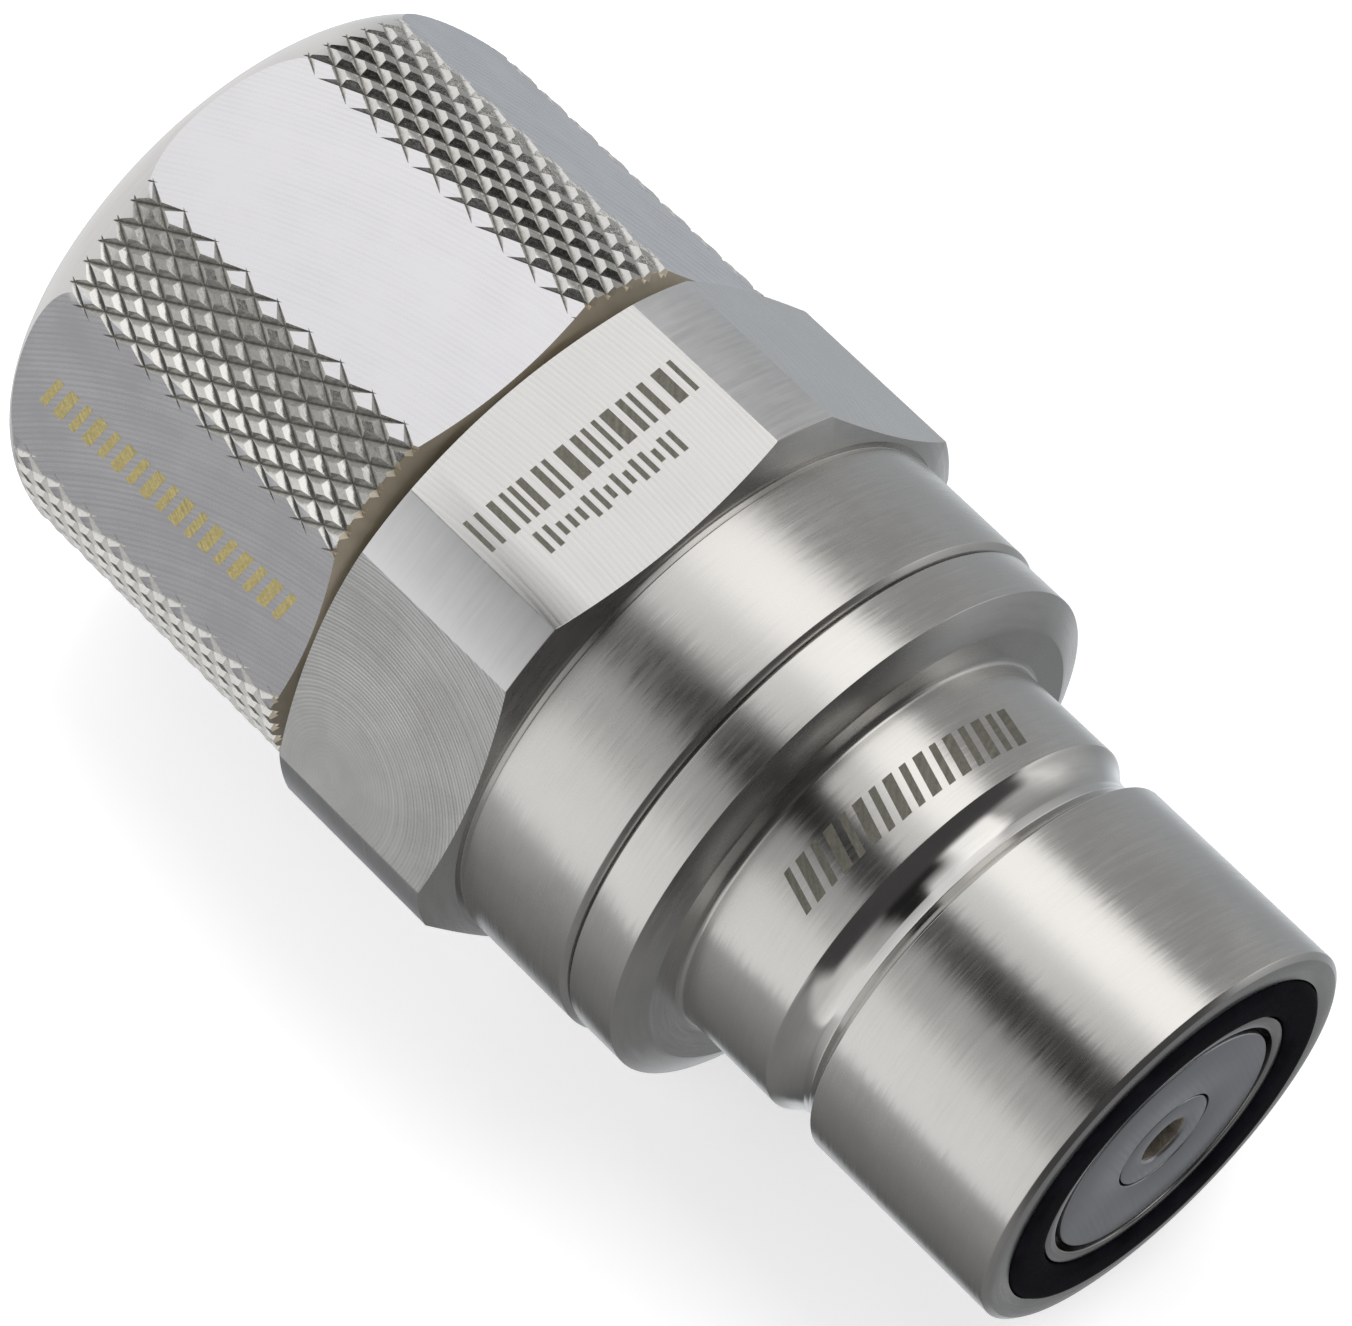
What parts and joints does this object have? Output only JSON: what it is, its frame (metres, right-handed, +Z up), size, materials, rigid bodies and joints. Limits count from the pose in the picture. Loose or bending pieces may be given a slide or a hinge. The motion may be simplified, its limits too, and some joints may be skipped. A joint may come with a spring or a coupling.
{
  "type": "quick disconnect coupler",
  "caption": "Male plug of a flat-face valved quick disconnect coupler: grooved nose with a spring-closed poppet, hex adapter and a knurled compression nut that clamps a hose.",
  "frame": {"origin": "on the surface it lies on, under the middle of its length and on its axis in plan", "axes": "+X along the coupler's axis, out of the nose; +Z up, out of the upper wrench flat; +Y to the left seen from behind the nut"},
  "size_m": [0.0424, 0.0218, 0.02],
  "materials": {
    "turned_metal": "turned and milled, fine tool marks",
    "nut_metal": "diamond knurl with milled flats",
    "nose_metal": "fine turned, polished groove",
    "valve_metal": "fine turned",
    "disc_metal": "matt faced",
    "screw_metal": "matt",
    "spring_wire": "drawn wire",
    "seal_rubber": "moulded, faint sheen",
    "clamp_plastic": "natural acetal",
    "bushing_plastic": "filled PTFE"
  },
  "bodies": {
    "fitting": {"hex_adapter": "turned_metal", "nose_body": "nose_metal", "nose_face_seal": "seal_rubber", "body_joint_seal": "seal_rubber", "stem_guide": "valve_metal", "stem_bushing": "bushing_plastic", "guide_retaining_ring": "spring_wire", "spring_seat": "valve_metal", "valve_spring": "spring_wire"},
    "nut_carrier": {"clamp_ring": "clamp_plastic"},
    "nut": {"compression_nut": "nut_metal"},
    "valve": {"poppet": "valve_metal", "poppet_disc": "disc_metal", "poppet_screw": "screw_metal", "poppet_seal": "seal_rubber"}
  },
  "joints": [
    {"name": "nut_advance", "type": "slide", "parent": "fitting", "child": "nut_carrier", "axis": [-1, 0, 0], "range_m": [0, 0.006]},
    {"name": "nut_turn", "type": "hinge", "parent": "nut_carrier", "child": "nut", "pos_m": [-0.01465, 0, 0.01], "axis": [-1, 0, 0], "range_deg": [0, 2160]},
    {"name": "poppet_slide", "type": "slide", "parent": "fitting", "child": "valve", "axis": [-1, 0, 0], "range_m": [0, 0.0045], "stiffness_N_per_m": 900, "springref_m": -0.006, "deforming": ["valve_spring"]}
  ],
  "couplings": [
    {"joint": "nut_turn", "follows": "nut_advance", "rad_per_m": 6283.2}
  ]
}
